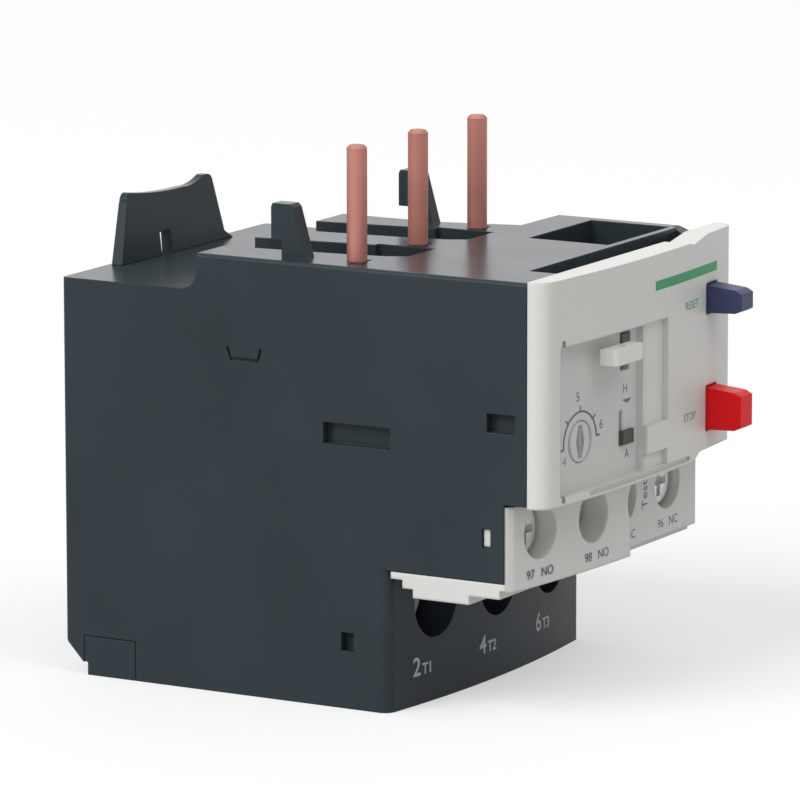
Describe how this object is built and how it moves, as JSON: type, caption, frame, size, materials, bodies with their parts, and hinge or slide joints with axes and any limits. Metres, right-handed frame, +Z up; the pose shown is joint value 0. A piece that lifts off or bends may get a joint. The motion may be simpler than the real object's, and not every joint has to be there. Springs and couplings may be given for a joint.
{
  "type": "thermal overload relay",
  "caption": "Plug-in thermal overload relay: upright copper pins and hooks on a stepped dark case, a bowed light cover with settings and two buttons, and screw terminals.",
  "frame": {"origin": "centre of the bounding box at the level of the lowest face", "axes": "+X to the right as the cover is read, +Y from the cover towards the back plate, +Z up along the pins"},
  "size_m": [0.045, 0.0682, 0.0637],
  "materials": {
    "case_dark": "fine matte moulding",
    "cover_light": "satin light grey moulding",
    "pane_clear": "clear polycarbonate",
    "lug_white": "satin white moulding",
    "dial_light": "satin light moulding",
    "slider_black": "matte black moulding",
    "button_blue": "satin blue moulding",
    "button_red": "satin red moulding",
    "pin_copper": "plain copper, lightly dulled",
    "bar_copper": "plain copper",
    "heater_alloy": "resistance ribbon",
    "bimetal_steel": "rolled strip",
    "zinc_steel": "zinc plated",
    "spring_steel": "drawn wire",
    "contact_brass": "stamped brass",
    "mechanism_plastic": "natural moulding"
  },
  "bodies": {
    "case": {"aux_block": "cover_light", "bottom_cover": "case_dark", "contact_95": "contact_brass", "contact_96": "contact_brass", "contact_97": "contact_brass", "contact_98": "contact_brass", "contact_pin_1": "pin_copper", "contact_pin_2": "pin_copper", "contact_pin_3": "pin_copper", "front_cover": "cover_light", "heater_1": "heater_alloy", "heater_2": "heater_alloy", "heater_3": "heater_alloy", "housing": "case_dark", "latch_plate": "case_dark", "load_bar_1": "bar_copper", "load_bar_2": "bar_copper", "load_bar_3": "bar_copper", "reset_spring": "spring_steel", "stop_spring": "spring_steel", "trip_lever_pin": "zinc_steel"},
    "pane": {"clear_cover": "pane_clear", "sealing_lug": "lug_white"},
    "dial": {"adjustment_dial": "dial_light"},
    "mode_slider": {"mode_selector": "slider_black"},
    "test_slider": {"test_slider": "slider_black"},
    "reset": {"reset_button": "button_blue"},
    "stop": {"stop_button": "button_red"},
    "power_1_screw": {"power_1_screw": "zinc_steel"},
    "power_1_cage": {"power_1_cage": "zinc_steel"},
    "power_2_screw": {"power_2_screw": "zinc_steel"},
    "power_2_cage": {"power_2_cage": "zinc_steel"},
    "power_3_screw": {"power_3_screw": "zinc_steel"},
    "power_3_cage": {"power_3_cage": "zinc_steel"},
    "aux_97_screw": {"aux_97_screw": "zinc_steel"},
    "aux_97_cage": {"aux_97_cage": "zinc_steel"},
    "aux_98_screw": {"aux_98_screw": "zinc_steel"},
    "aux_98_cage": {"aux_98_cage": "zinc_steel"},
    "aux_95_screw": {"aux_95_screw": "zinc_steel"},
    "aux_95_cage": {"aux_95_cage": "zinc_steel"},
    "aux_96_screw": {"aux_96_screw": "zinc_steel"},
    "aux_96_cage": {"aux_96_cage": "zinc_steel"},
    "push": {"push_slide": "mechanism_plastic", "differential_lever": "mechanism_plastic"},
    "differential": {"differential_slide": "mechanism_plastic"},
    "bimetal_1": {"bimetal_1": "bimetal_steel"},
    "bimetal_2": {"bimetal_2": "bimetal_steel"},
    "bimetal_3": {"bimetal_3": "bimetal_steel"},
    "trip_lever": {"trip_lever": "mechanism_plastic", "compensating_bimetal": "bimetal_steel"},
    "contacts": {"contact_carrier": "mechanism_plastic", "nc_bridge": "contact_brass", "no_bridge": "contact_brass"}
  },
  "joints": [
    {"name": "pane_hinge", "type": "hinge", "parent": "case", "child": "pane", "pos_m": [-0.0189, -0.02884, 0.0346], "axis": [0, 0, -1], "range_deg": [0, 90]},
    {"name": "dial_turn", "type": "hinge", "parent": "case", "child": "dial", "pos_m": [-0.0135, -0.0269, 0.0315], "axis": [0, -1, 0], "range_deg": [-90, 90]},
    {"name": "mode_travel", "type": "slide", "parent": "case", "child": "mode_slider", "axis": [0, 0, 1], "range_m": [0, 0.0022]},
    {"name": "test_travel", "type": "slide", "parent": "case", "child": "test_slider", "axis": [0, 0, -1], "range_m": [0, 0.001], "stiffness_N_per_m": 20, "springref_m": -0.0005},
    {"name": "reset_press", "type": "slide", "parent": "case", "child": "reset", "axis": [0, 1, 0], "range_m": [0, 0.0025], "stiffness_N_per_m": 100, "springref_m": -0.001, "deforming": ["reset_spring"]},
    {"name": "stop_press", "type": "slide", "parent": "case", "child": "stop", "axis": [0, 1, 0], "range_m": [0, 0.0025], "stiffness_N_per_m": 100, "springref_m": -0.001, "deforming": ["stop_spring"]},
    {"name": "power_1_turn", "type": "hinge", "parent": "case", "child": "power_1_screw", "pos_m": [-0.0134, -0.0039, 0.0115], "axis": [0, 1, 0], "range_deg": [0, 1542.9]},
    {"name": "power_1_clamp", "type": "slide", "parent": "case", "child": "power_1_cage", "axis": [0, -1, 0], "range_m": [0, 0.003]},
    {"name": "power_2_turn", "type": "hinge", "parent": "case", "child": "power_2_screw", "pos_m": [0, -0.0039, 0.0115], "axis": [0, 1, 0], "range_deg": [0, 1542.9]},
    {"name": "power_2_clamp", "type": "slide", "parent": "case", "child": "power_2_cage", "axis": [0, -1, 0], "range_m": [0, 0.003]},
    {"name": "power_3_turn", "type": "hinge", "parent": "case", "child": "power_3_screw", "pos_m": [0.0134, -0.0039, 0.0115], "axis": [0, 1, 0], "range_deg": [0, 1542.9]},
    {"name": "power_3_clamp", "type": "slide", "parent": "case", "child": "power_3_cage", "axis": [0, -1, 0], "range_m": [0, 0.003]},
    {"name": "aux_97_turn", "type": "hinge", "parent": "case", "child": "aux_97_screw", "pos_m": [-0.0166, -0.0209, 0.0215], "axis": [0, 1, 0], "range_deg": [0, 1440.1]},
    {"name": "aux_97_clamp", "type": "slide", "parent": "case", "child": "aux_97_cage", "axis": [0, -1, 0], "range_m": [0, 0.002]},
    {"name": "aux_98_turn", "type": "hinge", "parent": "case", "child": "aux_98_screw", "pos_m": [-0.00593, -0.0209, 0.0215], "axis": [0, 1, 0], "range_deg": [0, 1440.1]},
    {"name": "aux_98_clamp", "type": "slide", "parent": "case", "child": "aux_98_cage", "axis": [0, -1, 0], "range_m": [0, 0.002]},
    {"name": "aux_95_turn", "type": "hinge", "parent": "case", "child": "aux_95_screw", "pos_m": [0.00474, -0.0209, 0.0215], "axis": [0, 1, 0], "range_deg": [0, 1440.1]},
    {"name": "aux_95_clamp", "type": "slide", "parent": "case", "child": "aux_95_cage", "axis": [0, -1, 0], "range_m": [0, 0.002]},
    {"name": "aux_96_turn", "type": "hinge", "parent": "case", "child": "aux_96_screw", "pos_m": [0.01541, -0.0209, 0.0215], "axis": [0, 1, 0], "range_deg": [0, 1440.1]},
    {"name": "aux_96_clamp", "type": "slide", "parent": "case", "child": "aux_96_cage", "axis": [0, -1, 0], "range_m": [0, 0.002]},
    {"name": "push_travel", "type": "slide", "parent": "case", "child": "push", "axis": [-1, 0, 0], "range_m": [0, 0.002]},
    {"name": "differential_travel", "type": "slide", "parent": "case", "child": "differential", "axis": [-1, 0, 0], "range_m": [0, 0.002]},
    {"name": "bimetal_1_bend", "type": "hinge", "parent": "case", "child": "bimetal_1", "pos_m": [-0.0134, 0.0191, 0.007], "axis": [0, -1, 0], "range_deg": [0, 3.4]},
    {"name": "bimetal_2_bend", "type": "hinge", "parent": "case", "child": "bimetal_2", "pos_m": [0, 0.0191, 0.007], "axis": [0, -1, 0], "range_deg": [0, 3.4]},
    {"name": "bimetal_3_bend", "type": "hinge", "parent": "case", "child": "bimetal_3", "pos_m": [0.0134, 0.0191, 0.007], "axis": [0, -1, 0], "range_deg": [0, 3.4]},
    {"name": "trip_lever_turn", "type": "hinge", "parent": "case", "child": "trip_lever", "pos_m": [-0.012, -0.0107, 0.0285], "axis": [0, -1, 0], "range_deg": [0, 10.1]},
    {"name": "contact_lift", "type": "slide", "parent": "case", "child": "contacts", "axis": [0, 0, 1], "range_m": [0, 0.0016]}
  ],
  "couplings": [
    {"joint": "power_1_turn", "follows": "power_1_clamp", "rad_per_m": 8976},
    {"joint": "power_2_turn", "follows": "power_2_clamp", "rad_per_m": 8976},
    {"joint": "power_3_turn", "follows": "power_3_clamp", "rad_per_m": 8976},
    {"joint": "aux_97_turn", "follows": "aux_97_clamp", "rad_per_m": 12566},
    {"joint": "aux_98_turn", "follows": "aux_98_clamp", "rad_per_m": 12566},
    {"joint": "aux_95_turn", "follows": "aux_95_clamp", "rad_per_m": 12566},
    {"joint": "aux_96_turn", "follows": "aux_96_clamp", "rad_per_m": 12566},
    {"joint": "differential_travel", "follows": "push_travel", "ratio": 1},
    {"joint": "bimetal_1_bend", "follows": "push_travel", "rad_per_m": 29.5},
    {"joint": "bimetal_2_bend", "follows": "push_travel", "rad_per_m": 29.5},
    {"joint": "bimetal_3_bend", "follows": "push_travel", "rad_per_m": 29.5},
    {"joint": "trip_lever_turn", "follows": "push_travel", "rad_per_m": 87.5},
    {"joint": "contact_lift", "follows": "push_travel", "ratio": 0.8}
  ]
}
